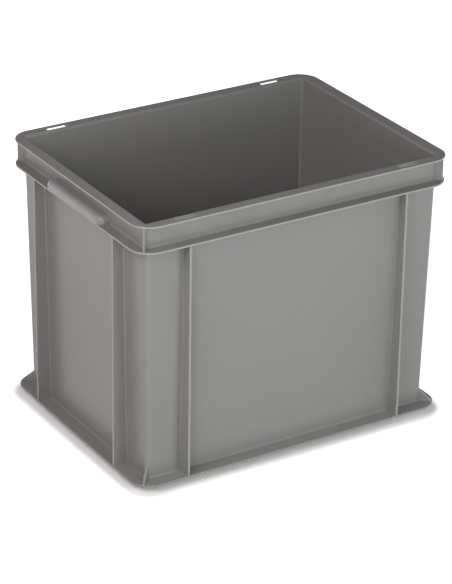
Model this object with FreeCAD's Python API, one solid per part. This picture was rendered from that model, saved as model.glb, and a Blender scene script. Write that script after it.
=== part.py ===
import FreeCAD, Part

import math
import os

# Euro stacking container, moulded in one piece.
# Origin: middle of the footprint at floor level. +X along the long side, +Z up, millimetres.

# Outline that the lip, the lower flange and the base flange share
LENGTH = 400.0
WIDTH = 300.0
HEIGHT = 320.0
OUTLINE_RADIUS = 25.0

# Shell
WALL = 2.2
FLOOR = 3.0
TOP_INSET = 12.9            # outline to the body's outer face, at the top
BASE_INSET = 17.5           # the same at the bottom, so the walls draw out of the mould
BODY_CORNER_RADIUS = 5.0
FLOOR_FILLET = 2.0

# Rim
LIP = 3.0
LIP_ROUND = 1.2             # upper outer edge of the lip
EDGE_BREAK = 0.5            # the other flange edges
LEAD_IN = 2.6               # bevel of the inner top edge, guides the foot of the box above
RIM_DEPTH = 32.0            # top of the lip to the underside of the lower flange
RIM_FLANGE = 3.0

# Base
FOOT = 9.0                  # drops into the rim of the box below
BASE_FLANGE = 3.0
FOOT_BEVEL = 1.5
BASE_RECESS = 1.2
BASE_RING = 14.0            # width of the ring that the box stands on
GATE_RADIUS = 5.0           # moulding gate left in the middle of the underside
GATE_HEIGHT = 0.7

# Upright ribs, two on each face
RIB = 2.5
RIB_FROM_END = 61.5         # outline corner to the middle of the rib
RIB_SET_BACK = 0.4          # rib edge behind the outline

# Webs and gussets on the diagonals of the corners
WEB = 2.5
WEB_SET_BACK = 1.6
GUSSET_RISE = 15.0
GUSSET_BLUNT = 1.0

# Lid hinge slots and pin holes, in the lip of both long sides
SLOT_LENGTH = 24.0
SLOT_WIDTH = 6.5
SLOT_ROUND = 1.2
SLOT_FROM_END = 58.0        # outline corner to the middle of the slot
SLOT_FROM_EDGE = 7.5        # outline to the middle of the slot
PIN_RADIUS = 1.6
PIN_FROM_END = 40.0

# Shell grips under the lip of both short sides
GRIP_HALF = 61.5
GRIP_RISE = 12.0            # underside of the lower flange to the top of the grip
GRIP_WALL = 2.5
GRIP_END_ROUND = 8.0

# Heights that follow
LIP_UNDER = HEIGHT - LIP
RIM_FLANGE_UNDER = HEIGHT - RIM_DEPTH
BASE_FLANGE_TOP = FOOT + BASE_FLANGE
FLOOR_TOP = BASE_RECESS + FLOOR

# Reach past a face, so that a cut or a joint is a clean one
OVER = 1.0


def rounded_wire(length, width, radius, z):
    """Rectangle with round corners about the origin, at height z."""
    x = length / 2
    y = width / 2
    k = radius * (1 - math.sqrt(0.5))
    corners = [(x, -y, 1, -1), (x, y, 1, 1), (-x, y, -1, 1), (-x, -y, -1, -1)]
    before = []
    middle = []
    after = []
    for cx, cy, sx, sy in corners:
        on_x_side = FreeCAD.Vector(cx, cy - sy * radius, z)
        on_y_side = FreeCAD.Vector(cx - sx * radius, cy, z)
        turns_up = sx * sy < 0
        before.append(on_y_side if turns_up else on_x_side)
        after.append(on_x_side if turns_up else on_y_side)
        middle.append(FreeCAD.Vector(cx - sx * k, cy - sy * k, z))
    edges = []
    for i in range(4):
        edges.append(Part.Arc(before[i], middle[i], after[i]).toShape())
        edges.append(Part.LineSegment(after[i], before[(i + 1) % 4]).toShape())
    return Part.Wire(edges)


def inset_at(z):
    """Outline to the body's outer face at height z."""
    return BASE_INSET + (TOP_INSET - BASE_INSET) * z / HEIGHT


def edges_where(shape, test):
    """Edges whose middle point passes the test."""
    found = []
    for edge in shape.Edges:
        middle = edge.valueAt((edge.FirstParameter + edge.LastParameter) / 2)
        if test(edge, middle):
            found.append(edge)
    return found


def drafted(low, high, offset, radius):
    """Tapered block that follows the body's outer face, offset inwards, with round upright edges."""
    corners = []
    for z in (low, high):
        x = LENGTH / 2 - inset_at(z) - offset
        y = WIDTH / 2 - inset_at(z) - offset
        corners.append([FreeCAD.Vector(i * x, j * y, z) for i, j in ((1, 1), (-1, 1), (-1, -1), (1, -1))])
    under, top = corners
    outlines = [under[::-1], top]
    for i in range(4):
        j = (i + 1) % 4
        outlines.append([under[i], under[j], top[j], top[i]])
    faces = [Part.Face(Part.makePolygon(points + points[:1])) for points in outlines]
    solid = Part.makeSolid(Part.makeShell(faces))
    upright = edges_where(solid, lambda e, p: low < p.z < high)
    return solid.makeFillet(radius, upright)


def plate(z, thickness):
    """Plate of the shared outline."""
    base = Part.Face(rounded_wire(LENGTH, WIDTH, OUTLINE_RADIUS, z))
    return base.extrude(FreeCAD.Vector(0, 0, thickness))


def edges_at(shape, z):
    """Edges that lie at height z."""
    return edges_where(shape, lambda e, p: abs(p.z - z) < 1e-6)


def lip_plate():
    """Lip round the mouth, rounded where hands meet it."""
    solid = plate(LIP_UNDER, LIP)
    solid = solid.makeFillet(LIP_ROUND, edges_at(solid, HEIGHT))
    return solid.makeChamfer(EDGE_BREAK, edges_at(solid, LIP_UNDER))


def flange_plate(z, thickness):
    """Flange with both outer edges broken."""
    solid = plate(z, thickness)
    return solid.makeChamfer(EDGE_BREAK, edges_at(solid, z) + edges_at(solid, z + thickness))


def block(x0, x1, y0, y1, z0, z1):
    """Box between two corners."""
    corner = FreeCAD.Vector(min(x0, x1), min(y0, y1), min(z0, z1))
    return Part.makeBox(abs(x1 - x0), abs(y1 - y0), abs(z1 - z0), corner)


def four_ways(solid):
    """A solid of the +X +Y corner, and its mirror images in the other three."""
    across_x = solid.mirror(FreeCAD.Vector(), FreeCAD.Vector(1, 0, 0))
    pair = [solid, across_x]
    return pair + [s.mirror(FreeCAD.Vector(), FreeCAD.Vector(0, 1, 0)) for s in pair]


def ribs():
    """Upright ribs from the base flange to the lower flange."""
    low = BASE_FLANGE_TOP - OVER
    high = RIM_FLANGE_UNDER + OVER
    root = BASE_INSET + WALL / 2
    found = []
    for along, across in ((LENGTH / 2, WIDTH / 2), (WIDTH / 2, LENGTH / 2)):
        middle = along - RIB_FROM_END
        outer = across - RIB_SET_BACK
        rib = block(middle - RIB / 2, middle + RIB / 2, across - root, outer, low, high)
        tips = edges_where(rib, lambda e, p: abs(p.y - outer) < 1e-6 and abs(p.z - (low + high) / 2) < 1e-6)
        rib = rib.makeChamfer(EDGE_BREAK, tips)
        if along < across:
            rib.rotate(FreeCAD.Vector(), FreeCAD.Vector(0, 0, 1), -90)
            rib = rib.mirror(FreeCAD.Vector(), FreeCAD.Vector(0, 1, 0))
        found += four_ways(rib)
    return found


def diagonal(points, thickness):
    """Upright plate on the diagonal of the +X +Y corner.

    Each point is a distance inwards from the outline's sharp corner, along each side, and a height.
    """
    side = FreeCAD.Vector(1, -1, 0).normalize() * (thickness / 2)
    corners = [FreeCAD.Vector(LENGTH / 2 - d, WIDTH / 2 - d, z) - side for d, z in points]
    face = Part.Face(Part.makePolygon(corners + corners[:1]))
    return face.extrude(side * 2)


def corner_plates():
    """Rim webs between the lip and the lower flange, and gussets on the base flange."""
    arc_gap = OUTLINE_RADIUS * (1 - math.sqrt(0.5))
    web_outer = arc_gap + WEB_SET_BACK * math.sqrt(0.5)
    root = BASE_INSET + WALL
    web = diagonal([
        (root, RIM_FLANGE_UNDER + OVER),
        (web_outer, RIM_FLANGE_UNDER + OVER),
        (web_outer, LIP_UNDER + OVER),
        (root, LIP_UNDER + OVER),
    ], WEB)
    face_corner = inset_at(BASE_FLANGE_TOP) + BODY_CORNER_RADIUS * (1 - math.sqrt(0.5))
    gusset = diagonal([
        (root + WALL, FOOT + OVER),
        (arc_gap + EDGE_BREAK, FOOT + OVER),
        (arc_gap + EDGE_BREAK, BASE_FLANGE_TOP + GUSSET_BLUNT),
        (face_corner, BASE_FLANGE_TOP + GUSSET_RISE),
        (root + WALL, BASE_FLANGE_TOP + GUSSET_RISE),
    ], WEB)
    return four_ways(web) + four_ways(gusset)


def quarter_roll(half, outer, rise, low, radius, end_round):
    """Roll along Y with a quarter-round top edge and round ends, on the +X side."""
    inner = LENGTH / 2 - BASE_INSET - WALL / 2
    roll = block(inner, outer, -half, half, low, RIM_FLANGE_UNDER + rise)
    top = edges_where(roll, lambda e, p: abs(p.x - outer) < 1e-6 and abs(p.z - RIM_FLANGE_UNDER - rise) < 1e-6)
    roll = roll.makeFillet(radius, top)
    ends = edges_where(roll, lambda e, p: abs(abs(p.y) - half) < 1e-6 and p.x > inner + OVER and p.z > low + OVER)
    return roll.makeFillet(end_round, ends)


def grip_shells():
    """Outer forms of the two grips, and the finger hollows under them."""
    outer = LENGTH / 2 - EDGE_BREAK / 2
    shell = quarter_roll(GRIP_HALF, outer, GRIP_RISE, RIM_FLANGE_UNDER, GRIP_RISE - OVER / 2, GRIP_END_ROUND)
    hollow = quarter_roll(
        GRIP_HALF - GRIP_WALL, outer - GRIP_WALL, GRIP_RISE - GRIP_WALL,
        RIM_FLANGE_UNDER - OVER, GRIP_RISE - OVER / 2 - GRIP_WALL, GRIP_END_ROUND - GRIP_WALL)
    across = FreeCAD.Vector(1, 0, 0)
    shells = [shell, shell.mirror(FreeCAD.Vector(), across)]
    hollows = [hollow, hollow.mirror(FreeCAD.Vector(), across)]
    return shells, hollows


def lip_openings():
    """Hinge slots and pin holes through the lip."""
    x = LENGTH / 2 - SLOT_FROM_END
    y = WIDTH / 2 - SLOT_FROM_EDGE
    low = LIP_UNDER - OVER
    high = HEIGHT + OVER
    slot = block(x - SLOT_LENGTH / 2, x + SLOT_LENGTH / 2, y - SLOT_WIDTH / 2, y + SLOT_WIDTH / 2, low, high)
    upright = edges_where(slot, lambda e, p: abs(p.z - (low + high) / 2) < 1e-6)
    slot = slot.makeFillet(SLOT_ROUND, upright)
    pin = Part.makeCylinder(PIN_RADIUS, high - low, FreeCAD.Vector(LENGTH / 2 - PIN_FROM_END, y, low))
    return four_ways(slot) + four_ways(pin)


def underside():
    """Recess in the underside, with the gate left standing in it."""
    inset = 2 * (BASE_INSET + BASE_RING)
    recess = Part.Face(rounded_wire(LENGTH - inset, WIDTH - inset, BODY_CORNER_RADIUS, -OVER))
    recess = recess.extrude(FreeCAD.Vector(0, 0, BASE_RECESS + OVER))
    gate = Part.makeCylinder(GATE_RADIUS, GATE_HEIGHT + OVER, FreeCAD.Vector(0, 0, BASE_RECESS - GATE_HEIGHT))
    return recess.cut(gate)


def container():
    """The whole box as one solid."""
    outside = drafted(0, HEIGHT, 0, BODY_CORNER_RADIUS)
    outside = outside.makeChamfer(FOOT_BEVEL, edges_at(outside, 0))
    inside = drafted(FLOOR_TOP, HEIGHT + OVER, WALL, BODY_CORNER_RADIUS - WALL)
    inside = inside.makeFillet(FLOOR_FILLET, edges_at(inside, FLOOR_TOP))

    flanges = [lip_plate(), flange_plate(RIM_FLANGE_UNDER, RIM_FLANGE), flange_plate(FOOT, BASE_FLANGE)]
    shells, hollows = grip_shells()

    solid = outside.fuse(flanges + shells + ribs() + corner_plates())
    solid = solid.cut([hollow.cut(outside) for hollow in hollows])
    solid = solid.cut([inside, underside()] + lip_openings())
    solid = solid.removeSplitter()

    mouth_x = LENGTH / 2 - TOP_INSET
    mouth_y = WIDTH / 2 - TOP_INSET
    mouth = edges_where(solid, lambda e, p: abs(p.z - HEIGHT) < 1e-6 and abs(p.x) < mouth_x and abs(p.y) < mouth_y)
    return solid.makeChamfer(LEAD_IN, mouth)


os.makedirs("parts", exist_ok=True)
box = container()
box.exportStep("parts/container.step")
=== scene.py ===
import math

import bmesh
import bpy
from mathutils import Matrix, Vector


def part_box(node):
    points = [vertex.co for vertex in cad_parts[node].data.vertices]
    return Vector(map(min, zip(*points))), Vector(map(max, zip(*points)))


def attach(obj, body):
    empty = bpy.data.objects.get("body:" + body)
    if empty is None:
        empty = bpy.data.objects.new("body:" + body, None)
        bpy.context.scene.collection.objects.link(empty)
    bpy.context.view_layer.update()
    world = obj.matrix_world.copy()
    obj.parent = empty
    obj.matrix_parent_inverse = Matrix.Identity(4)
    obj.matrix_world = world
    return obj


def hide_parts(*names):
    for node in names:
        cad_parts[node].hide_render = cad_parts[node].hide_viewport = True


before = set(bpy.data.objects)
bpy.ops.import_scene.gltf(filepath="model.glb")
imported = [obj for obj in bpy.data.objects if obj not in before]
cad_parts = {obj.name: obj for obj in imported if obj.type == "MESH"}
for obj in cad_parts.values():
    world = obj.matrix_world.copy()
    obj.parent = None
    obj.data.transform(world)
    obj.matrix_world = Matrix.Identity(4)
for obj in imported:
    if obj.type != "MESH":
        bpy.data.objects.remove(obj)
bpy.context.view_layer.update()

MM = 0.001

# Outline of the lip and of both flanges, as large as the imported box
box_low, box_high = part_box("container")
HALF_LENGTH = (box_high.x - box_low.x) / 2
HALF_WIDTH = (box_high.y - box_low.y) / 2
HEIGHT = box_high.z
OUTLINE_RADIUS = 25 * MM

# Shell
WALL = 2.2 * MM
FLOOR_TOP = 4.2 * MM
TOP_INSET = 12.9 * MM          # outline to the body's outer face, at the top
BASE_INSET = 17.5 * MM         # the same at the bottom
BODY_CORNER_RADIUS = 5 * MM
FLOOR_FILLET = 2 * MM
ROOT_FILLET = 1.3 * MM         # where flanges, lip and ribs grow out of the walls
FOOT_BEVEL = 1.5 * MM

# Lip, lower flange and base flange
LIP = 2.3 * MM
LIP_ROUND = 0.7 * MM
EDGE_ROUND = 0.5 * MM
LEAD_IN = 2.6 * MM             # bevel of the mouth
LEAD_IN_ROUND = 0.4 * MM
RIM_DEPTH = 32 * MM
FLANGE = 2.3 * MM
FOOT = 9 * MM
LIP_UNDER = HEIGHT - LIP
RIM_FLANGE_UNDER = HEIGHT - RIM_DEPTH
RIM_FLANGE_TOP = RIM_FLANGE_UNDER + FLANGE
BASE_FLANGE_TOP = FOOT + FLANGE

# Underside
BASE_RECESS = 1.2 * MM
BASE_RING = 14 * MM
GATE_RADIUS = 5 * MM
GATE_HEIGHT = 0.7 * MM

# Upright ribs
RIB = 2.5 * MM
RIB_FROM_END = 61.5 * MM
RIB_SET_BACK = 0.4 * MM

# Webs and gussets on the diagonals of the corners
WEB = 2.5 * MM
WEB_SET_BACK = 1.6 * MM
WEB_EDGE_ROUND = 0.4 * MM
GUSSET_RISE = 15 * MM
GUSSET_BLUNT = 1 * MM

# Hinge slots and pin holes in the lip
SLOT_LENGTH = 24 * MM
SLOT_WIDTH = 6.5 * MM
SLOT_ROUND = 1.2 * MM
SLOT_FROM_END = 58 * MM
SLOT_FROM_EDGE = 7.5 * MM
SLOT_BREAK = 0.7 * MM          # bevel of the upper edges of slots and holes
RELIEF_DEPTH = 0.6 * MM        # the lip is thinner below, from a slot's middle outwards
RELIEF_FROM_EDGE = 0.9 * MM
PIN_RADIUS = 1.6 * MM
PIN_FROM_END = 40 * MM

# Shell grips
GRIP_HALF = 61.5 * MM
GRIP_RISE = 12 * MM
GRIP_WALL = 2.5 * MM
GRIP_ROUND = 7 * MM
GRIP_END_ROUND = 8 * MM
GRIP_SET_BACK = 0.25 * MM

OVER = 1 * MM                  # reach of a tool or a joined form past a face
SINK = 0.02 * MM               # depth of a fillet's foot in the wall
SAME = 0.001 * MM              # points nearer than this are one
DIAGONAL = math.sqrt(0.5)      # share of a length on a corner's diagonal that each axis takes

# Faces along a quarter turn
OUTLINE_STEPS = 24
CORNER_STEPS = 10
ROLL_STEPS = 12
EDGE_STEPS = 4
ROUND_STEPS = 32
SHARP_FROM = math.radians(32)


def inset_at(z):
    """Outline to the body's outer face at height z."""
    return BASE_INSET + (TOP_INSET - BASE_INSET) * z / HEIGHT


def quarter_turn(steps):
    """Angles along a quarter turn."""
    return [math.pi / 2 * i / steps for i in range(steps + 1)]


def cove(radius):
    """Points of a hollow quarter round in a right angle: distance from the wall, height above the foot."""
    return [(radius * (1 - math.sin(t)), radius * (1 - math.cos(t))) for t in quarter_turn(EDGE_STEPS)]


def nose(radius, steps):
    """Points of a full quarter round: distance inwards from the side, distance forwards from its start."""
    return [(radius * (1 - math.cos(t)), radius * math.sin(t)) for t in quarter_turn(steps)]


def bevel(bm, edges, radius, steps):
    """Rounds edges of a mesh."""
    bmesh.ops.bevel(bm, geom=edges, offset=radius, offset_type="OFFSET", segments=steps, profile=0.5,
                    affect="EDGES", material=-1, clamp_overlap=False)


def edges_with(bm, test):
    """Edges both of whose ends pass the test."""
    return [e for e in bm.edges if all(test(v.co) for v in e.verts)]


def upright_edges(bm):
    """Edges whose ends are at different heights."""
    return [e for e in bm.edges if abs(e.verts[0].co.z - e.verts[1].co.z) > SAME]


def block(low, high):
    """Closed block between two corners."""
    bm = bmesh.new()
    low = Vector(low)
    high = Vector(high)
    bmesh.ops.create_cube(bm, size=1)
    bmesh.ops.scale(bm, vec=high - low, verts=bm.verts)
    bmesh.ops.translate(bm, vec=(low + high) / 2, verts=bm.verts)
    return bm


def rounded_block(half_x, half_y, low, high, radius, steps):
    """Block about the Z axis with round upright edges."""
    bm = block((-half_x, -half_y, low), (half_x, half_y, high))
    bevel(bm, upright_edges(bm), radius, steps)
    return bm


def cylinder(radius, low, high):
    """Upright cylinder on the Z axis."""
    bm = bmesh.new()
    bmesh.ops.create_cone(bm, cap_ends=True, segments=ROUND_STEPS, radius1=radius, radius2=radius,
                          depth=high - low)
    bmesh.ops.translate(bm, vec=(0, 0, (high + low) / 2), verts=bm.verts)
    return bm


def top_face(bm):
    """Highest face."""
    return max(bm.faces, key=lambda f: f.calc_center_median().z)


def carry_face(bm, face, move, grow=(1, 1, 1), about=(0, 0, 0)):
    """Extrudes a face, scales the new one about a point, moves it and gives it back."""
    made = bmesh.ops.extrude_discrete_faces(bm, faces=[face])["faces"][0]
    bmesh.ops.scale(bm, vec=grow, space=Matrix.Translation(-Vector(about)), verts=made.verts)
    bmesh.ops.translate(bm, vec=move, verts=made.verts)
    return made


def stack(levels, radius, steps):
    """Closed form about the Z axis through levels of (height, inset from the outline), bottom first."""
    z, inset = levels[0]
    bm = rounded_block(HALF_LENGTH - inset, HALF_WIDTH - inset, z - OVER, z, radius, steps)
    top = top_face(bm)
    for next_z, next_inset in levels[1:]:
        grow_x = (HALF_LENGTH - next_inset) / (HALF_LENGTH - inset)
        grow_y = (HALF_WIDTH - next_inset) / (HALF_WIDTH - inset)
        top = carry_face(bm, top, (0, 0, next_z - z), (grow_x, grow_y, 1))
        z = next_z
        inset = next_inset
    bmesh.ops.bisect_plane(bm, geom=bm.verts[:] + bm.edges[:] + bm.faces[:], plane_co=(0, 0, levels[0][0]),
                           plane_no=(0, 0, 1), clear_inner=True)
    bmesh.ops.holes_fill(bm, edges=[e for e in bm.edges if e.is_boundary])
    return bm


def prism(points, rise):
    """Closed form with a flat section through the points, raised by a vector."""
    bm = bmesh.new()
    section = bm.faces.new([bm.verts.new(p) for p in points])
    made = bmesh.ops.extrude_face_region(bm, geom=[section])["geom"]
    bmesh.ops.translate(bm, vec=rise, verts=[v for v in made if isinstance(v, bmesh.types.BMVert)])
    bmesh.ops.recalc_face_normals(bm, faces=bm.faces)
    return bm


def four_ways(bm):
    """Adds the mirror images of a form of the +X +Y corner in the other three corners."""
    for axis in ("X", "Y"):
        everything = bm.verts[:] + bm.edges[:] + bm.faces[:]
        bmesh.ops.mirror(bm, geom=everything, matrix=Matrix(), merge_dist=SAME, axis=axis)
    bmesh.ops.recalc_face_normals(bm, faces=bm.faces)
    return bm


def beside(meshes):
    """Several separate forms in one mesh."""
    together = bmesh.new()
    for bm in meshes:
        mesh = bpy.data.meshes.new("passing")
        bm.to_mesh(mesh)
        bm.free()
        together.from_mesh(mesh)
        bpy.data.meshes.remove(mesh)
    return together


def as_object(name, bm):
    """Object in the scene from a mesh."""
    mesh = bpy.data.meshes.new(name)
    bm.normal_update()
    bm.to_mesh(mesh)
    bm.free()
    made = bpy.data.objects.new(name, mesh)
    bpy.context.scene.collection.objects.link(made)
    return made


def body_outside():
    """Outer face of the walls, from the foot to the lip, with a cove where each flange leaves it."""
    levels = [(0, inset_at(0) + FOOT_BEVEL), (FOOT_BEVEL, inset_at(FOOT_BEVEL))]
    for under, top in ((FOOT, BASE_FLANGE_TOP), (RIM_FLANGE_UNDER, RIM_FLANGE_TOP), (LIP_UNDER, None)):
        levels += [(under - up, inset_at(under) - out) for out, up in reversed(cove(ROOT_FILLET))]
        if top:
            levels += [(top + up, inset_at(top) - out) for out, up in cove(ROOT_FILLET)]
    levels.append((LIP_UNDER + OVER, inset_at(HEIGHT) - ROOT_FILLET))
    return stack(levels, BODY_CORNER_RADIUS, CORNER_STEPS)


def body_inside():
    """Space for the goods: floor with a cove round it, tapered walls and the lead-in of the mouth."""
    levels = [(FLOOR_TOP + up, inset_at(FLOOR_TOP) + WALL + out) for out, up in cove(FLOOR_FILLET)]
    mouth = inset_at(HEIGHT) + WALL
    # The last step is twice as flat as the lead-in, which breaks the mouth's upper edge
    levels += [
        (HEIGHT - LEAD_IN, mouth),
        (HEIGHT - LEAD_IN_ROUND, mouth - LEAD_IN + LEAD_IN_ROUND),
        (HEIGHT + LEAD_IN_ROUND, mouth - LEAD_IN - 3 * LEAD_IN_ROUND),
    ]
    return stack(levels, BODY_CORNER_RADIUS - WALL, CORNER_STEPS)


def plate(low, high, upper_round, lower_round):
    """Plate of the shared outline with round upper and lower edges."""
    bm = rounded_block(HALF_LENGTH, HALF_WIDTH, low, high, OUTLINE_RADIUS, OUTLINE_STEPS)
    bevel(bm, edges_with(bm, lambda p: p.z > high - SAME), upper_round, EDGE_STEPS)
    bevel(bm, edges_with(bm, lambda p: p.z < low + SAME), lower_round, EDGE_STEPS)
    return bm


def plates():
    """Lip and the two flanges."""
    return beside([
        plate(LIP_UNDER, HEIGHT, LIP_ROUND, EDGE_ROUND),
        plate(RIM_FLANGE_UNDER, RIM_FLANGE_TOP, EDGE_ROUND, EDGE_ROUND),
        plate(FOOT, BASE_FLANGE_TOP, EDGE_ROUND, EDGE_ROUND),
    ])


def rib(along, across):
    """Upright rib on the +Y wall, round at its tip, with coves at its root that follow the wall's taper."""
    low = BASE_FLANGE_TOP - OVER
    high = RIM_FLANGE_UNDER + OVER
    face = across - inset_at(low) - SINK
    lean = inset_at(low) - inset_at(high)
    tip = across - RIB_SET_BACK
    root = [(RIB / 2 + out, face + up) for out, up in cove(ROOT_FILLET)]
    edge = [(RIB / 2 - back, tip - EDGE_ROUND + on) for back, on in nose(EDGE_ROUND, EDGE_STEPS)]
    side = [(RIB / 2 + ROOT_FILLET, face - WALL / 2)] + root + edge
    outline = side + [(-x, y) for x, y in reversed(side)]
    bm = prism([(along + x, y, low) for x, y in outline], (0, 0, high - low))
    leaning = [v for v in bm.verts if v.co.z > low + SAME and v.co.y < face + ROOT_FILLET + SAME]
    bmesh.ops.translate(bm, vec=(0, lean, 0), verts=leaning)
    return bm


def ribs():
    """Two ribs on each face."""
    long_side = four_ways(rib(HALF_LENGTH - RIB_FROM_END, HALF_WIDTH))
    short_side = rib(HALF_WIDTH - RIB_FROM_END, HALF_LENGTH)
    quarter_back = Matrix.Rotation(-math.pi / 2, 3, "Z")
    bmesh.ops.rotate(short_side, verts=short_side.verts, cent=(0, 0, 0), matrix=quarter_back)
    return beside([long_side, four_ways(short_side)])


def diagonal(points):
    """Plate on the diagonal of the +X +Y corner, from points (inwards from the sharp corner, height)."""
    side = Vector((1, -1, 0)).normalized() * WEB
    outline = [Vector((HALF_LENGTH - d, HALF_WIDTH - d, z)) - side / 2 for d, z in points]
    bm = prism(outline, side)
    bevel(bm, bm.edges[:], WEB_EDGE_ROUND, EDGE_STEPS // 2)
    return bm


def corner_plates():
    """Webs between the lip and the lower flange, and gussets on the base flange."""
    arc_gap = OUTLINE_RADIUS * (1 - DIAGONAL)
    web_outer = arc_gap + WEB_SET_BACK * DIAGONAL
    root = BASE_INSET + WALL
    web = diagonal([
        (root, RIM_FLANGE_UNDER + OVER),
        (web_outer, RIM_FLANGE_UNDER + OVER),
        (web_outer, LIP_UNDER + OVER),
        (root, LIP_UNDER + OVER),
    ])
    face_corner = inset_at(BASE_FLANGE_TOP) + BODY_CORNER_RADIUS * (1 - DIAGONAL)
    gusset = diagonal([
        (root + WALL, FOOT + OVER),
        (arc_gap + EDGE_ROUND, FOOT + OVER),
        (arc_gap + EDGE_ROUND, BASE_FLANGE_TOP + GUSSET_BLUNT),
        (face_corner, BASE_FLANGE_TOP + GUSSET_RISE),
        (root + WALL, BASE_FLANGE_TOP + GUSSET_RISE),
    ])
    return beside([four_ways(web), four_ways(gusset)])


def roll(half, inner, outer, low, high, radius, end_round):
    """Quarter-round roll along Y on the +X side, with round ends, and its mirror image."""
    straight = half - end_round
    bm = block((inner, -straight, low), (outer, straight, high))
    bevel(bm, edges_with(bm, lambda p: p.x > outer - SAME and p.z > high - SAME), radius, ROLL_STEPS)
    for side in (-1, 1):
        end = max(bm.faces, key=lambda f: side * f.calc_center_median().y)
        back = on = 0
        for next_back, next_on in nose(end_round, CORNER_STEPS)[1:]:
            grow_x = (outer - inner - next_back) / (outer - inner - back)
            grow_z = (high - low - next_back) / (high - low - back)
            move = (0, side * (next_on - on), 0)
            end = carry_face(bm, end, move, (grow_x, 1, grow_z), (inner, 0, low))
            back = next_back
            on = next_on
    everything = bm.verts[:] + bm.edges[:] + bm.faces[:]
    bmesh.ops.mirror(bm, geom=everything, matrix=Matrix(), merge_dist=SAME, axis="X")
    bmesh.ops.recalc_face_normals(bm, faces=bm.faces)
    return bm


def grip_shells():
    """Outer forms of the two grips."""
    inner = HALF_LENGTH - BASE_INSET
    return roll(GRIP_HALF, inner, HALF_LENGTH - GRIP_SET_BACK, RIM_FLANGE_UNDER + OVER,
                RIM_FLANGE_UNDER + GRIP_RISE, GRIP_ROUND, GRIP_END_ROUND)


def finger_hollows():
    """Spaces for the fingers, open below."""
    inner = HALF_LENGTH - inset_at(RIM_FLANGE_TOP) + SINK
    outer = HALF_LENGTH - GRIP_SET_BACK - GRIP_WALL
    high = RIM_FLANGE_UNDER + GRIP_RISE - GRIP_WALL
    return roll(GRIP_HALF - GRIP_WALL, inner, outer, RIM_FLANGE_UNDER - OVER, high,
                GRIP_ROUND - GRIP_WALL, GRIP_END_ROUND - GRIP_WALL)


def lip_openings():
    """Hinge slots and pin holes through the lip, with their upper edges broken."""
    x = HALF_LENGTH - SLOT_FROM_END
    y = HALF_WIDTH - SLOT_FROM_EDGE
    low = LIP_UNDER - OVER
    high = HEIGHT - SLOT_BREAK
    slot = rounded_block(SLOT_LENGTH / 2, SLOT_WIDTH / 2, low, high, SLOT_ROUND, EDGE_STEPS)
    pin = cylinder(PIN_RADIUS, low, high)
    for opening, half_x, half_y, centre_x in ((slot, SLOT_LENGTH / 2, SLOT_WIDTH / 2, x),
                                              (pin, PIN_RADIUS, PIN_RADIUS, HALF_LENGTH - PIN_FROM_END)):
        wider = (1 + 2 * SLOT_BREAK / half_x, 1 + 2 * SLOT_BREAK / half_y, 1)
        carry_face(opening, top_face(opening), (0, 0, 2 * SLOT_BREAK), wider)
        bmesh.ops.translate(opening, vec=(centre_x, y, 0), verts=opening.verts)
    return beside([four_ways(slot), four_ways(pin)])


def slot_reliefs():
    """Thin places under the slots, where a hinge's hook goes round the lip."""
    width = SLOT_FROM_EDGE - RELIEF_FROM_EDGE
    bm = rounded_block(SLOT_LENGTH / 2 + OVER, width / 2, LIP_UNDER - OVER, LIP_UNDER + RELIEF_DEPTH,
                       SLOT_ROUND, EDGE_STEPS)
    place = (HALF_LENGTH - SLOT_FROM_END, HALF_WIDTH - RELIEF_FROM_EDGE - width / 2, 0)
    bmesh.ops.translate(bm, vec=place, verts=bm.verts)
    return four_ways(bm)


def base_recess():
    """Recess inside the ring that the box stands on."""
    inset = BASE_INSET + BASE_RING
    return rounded_block(HALF_LENGTH - inset, HALF_WIDTH - inset, -OVER, BASE_RECESS,
                         BODY_CORNER_RADIUS, CORNER_STEPS)


def gate():
    """Moulding gate in the middle of the underside."""
    return cylinder(GATE_RADIUS, BASE_RECESS - GATE_HEIGHT, BASE_RECESS + OVER)


def container_shell():
    """The whole box as one closed shell."""
    steps = [
        ("UNION", plates()), ("UNION", grip_shells()), ("UNION", ribs()), ("UNION", corner_plates()),
        ("DIFFERENCE", finger_hollows()), ("DIFFERENCE", body_inside()), ("DIFFERENCE", lip_openings()),
        ("DIFFERENCE", slot_reliefs()), ("DIFFERENCE", base_recess()), ("UNION", gate()),
    ]
    shell = as_object("container_shell", body_outside())
    tools = []
    for operation, bm in steps:
        tools.append(as_object("tool", bm))
        cut = shell.modifiers.new("step", "BOOLEAN")
        cut.operation = operation
        cut.solver = "MANIFOLD"
        cut.object = tools[-1]
    graph = bpy.context.evaluated_depsgraph_get()
    mesh = bpy.data.meshes.new_from_object(shell.evaluated_get(graph))
    mesh.name = "container_shell"
    shell.modifiers.clear()
    shell.data = mesh
    for tool in tools:
        bpy.data.objects.remove(tool)
    mesh.shade_smooth()
    mesh.set_sharp_from_angle(angle=SHARP_FROM)
    weighted = shell.modifiers.new("even_shading", "WEIGHTED_NORMAL")
    weighted.keep_sharp = True
    return shell


class Value:
    """A socket of a node, with Python's arithmetic adding Math nodes to it."""

    def __init__(self, nodes, socket):
        self.nodes = nodes
        self.socket = socket

    def maths(self, operation, *others):
        """Adds a Math node that works on this value and others."""
        return self.nodes.node("ShaderNodeMath", {"operation": operation}, [self, *others])

    def __add__(self, other):
        return self.maths("ADD", other)

    def __sub__(self, other):
        return self.maths("SUBTRACT", other)

    def __mul__(self, other):
        return self.maths("MULTIPLY", other)

    def __rsub__(self, other):
        return self.nodes.node("ShaderNodeMath", {"operation": "SUBTRACT"}, [other, self])

    def __abs__(self):
        return self.maths("ABSOLUTE")

    __radd__ = __add__
    __rmul__ = __mul__


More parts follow.
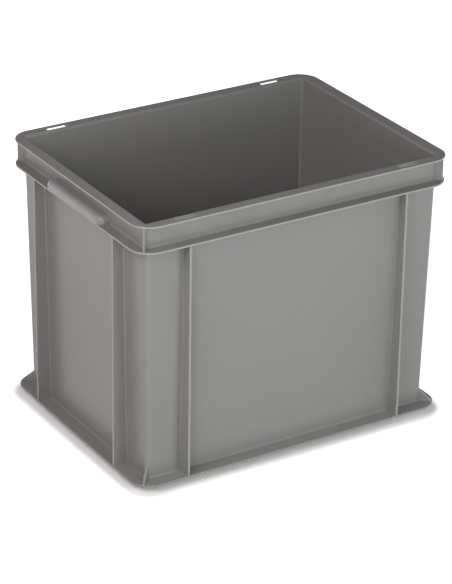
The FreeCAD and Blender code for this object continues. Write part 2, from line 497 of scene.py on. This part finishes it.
class Nodes:
    """The nodes of a material or of the world, written as expressions."""

    def __init__(self, owner):
        self.owner = owner
        owner.use_nodes = True
        self.tree = owner.node_tree
        self.tree.nodes.clear()

    def node(self, kind, settings=None, inputs=(), output=0):
        """Adds a node and gives one of its outputs; inputs are a list in order or a dict by name."""
        made = self.tree.nodes.new(kind)
        for name, value in (settings or {}).items():
            setattr(made, name, value)
        pairs = inputs.items() if isinstance(inputs, dict) else enumerate(inputs)
        for name, value in pairs:
            if isinstance(value, Value):
                self.tree.links.new(value.socket, made.inputs[name])
            else:
                made.inputs[name].default_value = value
        return Value(self, made.outputs[output]) if made.outputs else None

    def noise(self, place, scale, detail=2.0):
        """Noise about 0, from -0.5 to 0.5, with features a given size in metres."""
        inputs = {"Vector": place, "Scale": 1 / scale, "Detail": detail}
        return self.node("ShaderNodeTexNoise", {}, inputs) - 0.5

    def line(self, distance, half_width):
        """1 on a line, falling smoothly to 0 at half its width."""
        return self.node("ShaderNodeMapRange", {"interpolation_type": "SMOOTHERSTEP"}, {
            "Value": abs(distance), "From Min": 0.0, "From Max": half_width,
            "To Min": 1.0, "To Max": 0.0})

    def step(self, value, low, high):
        """0 below the low value, 1 above the high one, smooth between."""
        return self.node("ShaderNodeMapRange", {"interpolation_type": "SMOOTHSTEP"}, {
            "Value": value, "From Min": low, "From Max": high})

    def blend(self, share, first, second):
        """Mixes two colours."""
        return self.node("ShaderNodeMix", {"data_type": "RGBA"}, {0: share, 6: first, 7: second}, 2)

    def part(self, vector, axis):
        """One part of a vector: 0 for X, 1 for Y, 2 for Z."""
        return self.node("ShaderNodeSeparateXYZ", {}, [vector], axis)

    def past_outline(self, x, y):
        """Distance outwards from the box's outline, for points near it or outside."""
        corner_x = (abs(x) - (HALF_LENGTH - OUTLINE_RADIUS)).maths("MAXIMUM", 0.0)
        corner_y = (abs(y) - (HALF_WIDTH - OUTLINE_RADIUS)).maths("MAXIMUM", 0.0)
        return (corner_x * corner_x + corner_y * corner_y).maths("POWER", 0.5) - OUTLINE_RADIUS

    def finish(self, shader):
        """Ends a material with its shader and gives the material."""
        self.node("ShaderNodeOutputMaterial", {}, {"Surface": shader})
        return self.owner


# Two linear greys that the moulded plastic wanders between, and a lighter grey painted on its outermost
# edges as a highlight
GREY_COOL = (0.266, 0.270, 0.265, 1)
GREY_WARM = (0.278, 0.272, 0.262, 1)
GREY_EDGE_HIGHLIGHT = (0.355, 0.355, 0.340, 1)
TINT_MIDDLE = 0.5
BLUSH_SIZE = 90 * MM
BLUSH_SHARE = 1.6              # how far blush, streaks and grain carry the tint from its middle
STREAK_SIZE = 14 * MM
STREAK_LENGTH = 12             # how much longer than wide a flow streak is
STREAK_SHARE = 0.5
GRAIN_SIZE = 0.5 * MM
GRAIN_SHARE = 0.35
GRAIN_HEIGHT = 0.012 * MM
GRAIN_DETAIL = 4.0
SMOOTH_DETAIL = 1.0            # of blush and ripple
RIPPLE_SIZE = 30 * MM
RIPPLE_HEIGHT = 0.05 * MM
SINK_HALF_WIDTH = 3.5 * MM     # shallow marks inside, where a rib or a flange stands outside
SINK_DEPTH = 0.12 * MM
# Depths behind the outer face: where the marks begin and are full, then where they fade and are gone
INNER_FACE = (0.6 * WALL, 0.9 * WALL)
PAST_WALL = (1.1 * WALL, 1.5 * WALL)
ROUGHNESS = 0.34
ROUGHNESS_SPREAD = 0.10
PLASTIC_IOR = 1.49
PLASTIC_GLOSS = 0.06           # the grain scatters most of the surface's own reflection
SHEEN_WEIGHT = 0.30            # smoother skin that the mould leaves on the upright faces
HANDLED_WEIGHT = 0.35          # more of it on the grips, polished by hands
SHEEN_ROUGHNESS = 0.22
EDGE_HIGHLIGHT_WIDTH = 1.4 * MM          # outermost edges, painted lighter as a highlight
EDGE_HIGHLIGHT_FULL = 0.3 * EDGE_HIGHLIGHT_WIDTH
FACING_UP = (0.6, 0.95)        # upward part of the normal, from a slope to a level face


def grey_plastic():
    """Satin grey polypropylene with a spark-eroded grain, flow streaks and sink marks."""
    m = Nodes(bpy.data.materials.new("grey_plastic"))
    place = m.node("ShaderNodeTexCoord", output="Object")
    x = m.part(place, 0)
    y = m.part(place, 1)
    z = m.part(place, 2)

    inset = z * ((TOP_INSET - BASE_INSET) / HEIGHT) + BASE_INSET
    depth_x = HALF_LENGTH - inset - abs(x)
    depth_y = HALF_WIDTH - inset - abs(y)
    inside = m.step(depth_x, *INNER_FACE) * m.step(depth_y, *INNER_FACE)
    near_long = inside * (1 - m.step(depth_y, *PAST_WALL))
    near_short = inside * (1 - m.step(depth_x, *PAST_WALL))
    rib_mark_long = m.line(abs(x) - (HALF_LENGTH - RIB_FROM_END), SINK_HALF_WIDTH) * near_long
    rib_mark_short = m.line(abs(y) - (HALF_WIDTH - RIB_FROM_END), SINK_HALF_WIDTH) * near_short
    flange_mark = m.line(z - (RIM_FLANGE_UNDER + FLANGE / 2), SINK_HALF_WIDTH) * inside
    sink = rib_mark_long + rib_mark_short + flange_mark

    streak_inputs = {"Vector": place, "Scale": (1, 1, 1 / STREAK_LENGTH)}
    blush = m.noise(place, BLUSH_SIZE, SMOOTH_DETAIL)
    streak = m.noise(m.node("ShaderNodeMapping", {}, streak_inputs), STREAK_SIZE)
    grain = m.noise(place, GRAIN_SIZE, GRAIN_DETAIL)
    ripple = m.noise(place, RIPPLE_SIZE, SMOOTH_DETAIL)

    grip_from = HALF_LENGTH - OUTLINE_RADIUS
    at_grip = (m.step(abs(x), grip_from, grip_from + OVER)
               * (1 - m.step(abs(y), GRIP_HALF, GRIP_HALF + OVER))
               * (1 - m.step(abs(z - RIM_FLANGE_UNDER), GRIP_RISE, GRIP_RISE + OVER)))
    at_edge = m.step(m.past_outline(x, y), -EDGE_HIGHLIGHT_WIDTH, -EDGE_HIGHLIGHT_FULL)
    # Painted highlight: a lighter grey along the outermost edges of the lip and the flanges, left off the
    # grips and the base flange
    edge_highlight = at_edge * (1 - at_grip) * m.step(z, FOOT, 2 * FOOT)
    facing_up = m.step(m.part(m.node("ShaderNodeTexCoord", output="Normal"), 2), *FACING_UP)

    tint = blush * BLUSH_SHARE + streak * STREAK_SHARE + grain * GRAIN_SHARE + TINT_MIDDLE
    plain = m.blend(tint, GREY_COOL, GREY_WARM)
    colour = m.blend(edge_highlight * (1 - facing_up), plain, GREY_EDGE_HIGHLIGHT)
    roughness = grain * ROUGHNESS_SPREAD + blush * ROUGHNESS_SPREAD + ROUGHNESS
    height = grain * GRAIN_HEIGHT + ripple * RIPPLE_HEIGHT - sink * SINK_DEPTH
    sheen = (1 - facing_up) * SHEEN_WEIGHT + at_grip * HANDLED_WEIGHT
    normal = m.node("ShaderNodeBump", {}, {"Strength": 1.0, "Distance": 1.0, "Height": height})
    shader = m.node("ShaderNodeBsdfPrincipled", {}, {
        "Base Color": colour, "Roughness": roughness, "IOR": PLASTIC_IOR,
        "Specular IOR Level": PLASTIC_GLOSS, "Coat Weight": sheen,
        "Coat Roughness": SHEEN_ROUGHNESS, "Normal": normal})
    return m.finish(shader)


# Stage
FLOOR_HALF = 12                # metres
FLOOR_GREY = 0.8
FLOOR_SEEN = 1.3               # how white the floor is to the camera, which gives the box no more light
SHADOW_REACH = 16 * MM         # past this distance from the box the floor is plain white
NEAR_LIFT = 0.75               # what the floor lacks to white near the box, and far away
FAR_LIFT = 1.0
LAMPLIGHT_REACH = 800 * MM
WORLD_LIGHT = 0.02


def seen_directly(m):
    """1 for rays from the camera, a mirror or glass, which have to show the same background."""
    ray = [m.node("ShaderNodeLightPath", output=name)
           for name in ("Is Camera Ray", "Is Glossy Ray", "Is Transmission Ray")]
    return ray[0].maths("MAXIMUM", ray[1]).maths("MAXIMUM", ray[2])


def white_floor():
    """Pale floor that keeps the box's shadow and is white elsewhere."""
    m = Nodes(bpy.data.materials.new("white_floor"))
    place = m.node("ShaderNodeTexCoord", output="Object")
    x = m.part(place, 0)
    y = m.part(place, 1)
    away = m.past_outline(x, y)
    direct = seen_directly(m)
    far = m.step(away, SHADOW_REACH, LAMPLIGHT_REACH) * (FAR_LIFT - NEAR_LIFT) + NEAR_LIFT
    lift = m.node("ShaderNodeEmission", {}, {"Strength": m.step(away, 0.0, SHADOW_REACH) * direct * far})
    grey = direct * (FLOOR_SEEN - FLOOR_GREY) + FLOOR_GREY
    colour = m.node("ShaderNodeCombineColor", {}, [grey, grey, grey])
    lit = m.node("ShaderNodeBsdfDiffuse", {}, {"Color": colour})
    bm = bmesh.new()
    bmesh.ops.create_grid(bm, x_segments=1, y_segments=1, size=FLOOR_HALF)
    floor = as_object("floor", bm)
    floor.data.materials.append(m.finish(m.node("ShaderNodeAddShader", {}, [lit, lift])))


def studio_air():
    """Even white light from all round, and a white background."""
    m = Nodes(bpy.data.worlds.new("studio_air"))
    bpy.context.scene.world = m.owner
    direct = seen_directly(m)
    strength = direct * (1 - WORLD_LIGHT) + WORLD_LIGHT
    background = m.node("ShaderNodeBackground", {}, {"Color": (1, 1, 1, 1), "Strength": strength})
    m.node("ShaderNodeOutputWorld", {}, {"Surface": background})


# Lamps: azimuth and elevation seen from the box, width, height, watts, colour
WHITE = (1.0, 1.0, 1.0)
LAMP_DISTANCE = 1.3            # metres
LAMPS = {
    "high_softbox": (-65, 38, 0.7, 0.7, 7.3, (1.06, 0.965, 0.98)),
    "front_softbox": (0, 22, 0.7, 0.7, 4.6, (0.98, 1.03, 0.98)),
    "low_softbox": (15, 7, 0.7, 0.4, 3.0, (0.95, 1.01, 1.03)),
    "rear_left_softbox": (-130, 8, 0.7, 0.7, 0.8, (1.03, 1.02, 0.96)),
    "rear_softbox": (-170, 0, 1.2, 0.28, 6.0, WHITE),
    "right_softbox": (80, 0, 1.2, 0.28, 6.0, WHITE),
    "edge_light": (-45, 8, 0.2, 0.3, 1.5, WHITE),
}
BOX_MIDDLE = Vector((0, 0, HEIGHT / 2))


def direction(azimuth, elevation):
    """From the box towards a place: azimuth 0 is the front and 90 the right."""
    a = math.radians(azimuth)
    e = math.radians(elevation)
    return Vector((math.sin(a) * math.cos(e), -math.cos(a) * math.cos(e), math.sin(e)))


def lamps():
    """Soft lamps round the box."""
    for name, (azimuth, elevation, width, height, watts, colour) in LAMPS.items():
        light = bpy.data.lights.new(name, "AREA")
        light.shape = "RECTANGLE"
        light.size = width
        light.size_y = height
        light.energy = watts
        light.color = colour
        lamp = bpy.data.objects.new(name, light)
        bpy.context.scene.collection.objects.link(lamp)
        back = direction(azimuth, elevation)
        lamp.location = BOX_MIDDLE + back * LAMP_DISTANCE
        lamp.rotation_mode = "QUATERNION"
        lamp.rotation_quaternion = (-back).to_track_quat("-Z", "Y")


# Camera, fitted to the photograph's rim, flanges, ribs and base
IMAGE_WIDTH = 452
IMAGE_HEIGHT = 584
SENSOR = 36
CAMERA_AZIMUTH = -31.92
CAMERA_ELEVATION = 25.83
CAMERA_ROLL = 0.0159           # radians
CAMERA_DISTANCE = 3.0084
CAMERA_ACROSS = -0.00149
CAMERA_UP = -0.01914
FOCAL_PIXELS = 2641.3


def camera():
    """Camera at the photograph's viewing angle."""
    back = direction(CAMERA_AZIMUTH, CAMERA_ELEVATION)
    right = Vector((0, 0, 1)).cross(back).normalized()
    up = back.cross(right)
    right_rolled = right * math.cos(CAMERA_ROLL) + up * math.sin(CAMERA_ROLL)
    up_rolled = up * math.cos(CAMERA_ROLL) - right * math.sin(CAMERA_ROLL)
    data = bpy.data.cameras.new("camera")
    data.sensor_width = SENSOR
    data.lens = FOCAL_PIXELS * SENSOR / max(IMAGE_WIDTH, IMAGE_HEIGHT)
    made = bpy.data.objects.new("camera", data)
    bpy.context.scene.collection.objects.link(made)
    shift = right_rolled * CAMERA_ACROSS + up_rolled * CAMERA_UP
    made.location = BOX_MIDDLE + back * CAMERA_DISTANCE + shift
    made.rotation_mode = "QUATERNION"
    made.rotation_quaternion = Matrix((right_rolled, up_rolled, back)).transposed().to_quaternion()
    bpy.context.scene.camera = made


container = container_shell()
container.data.materials.clear()
container.data.materials.append(grey_plastic())
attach(container, "root")
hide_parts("container")

white_floor()
studio_air()
lamps()
camera()
bpy.context.scene.view_settings.view_transform = "Standard"
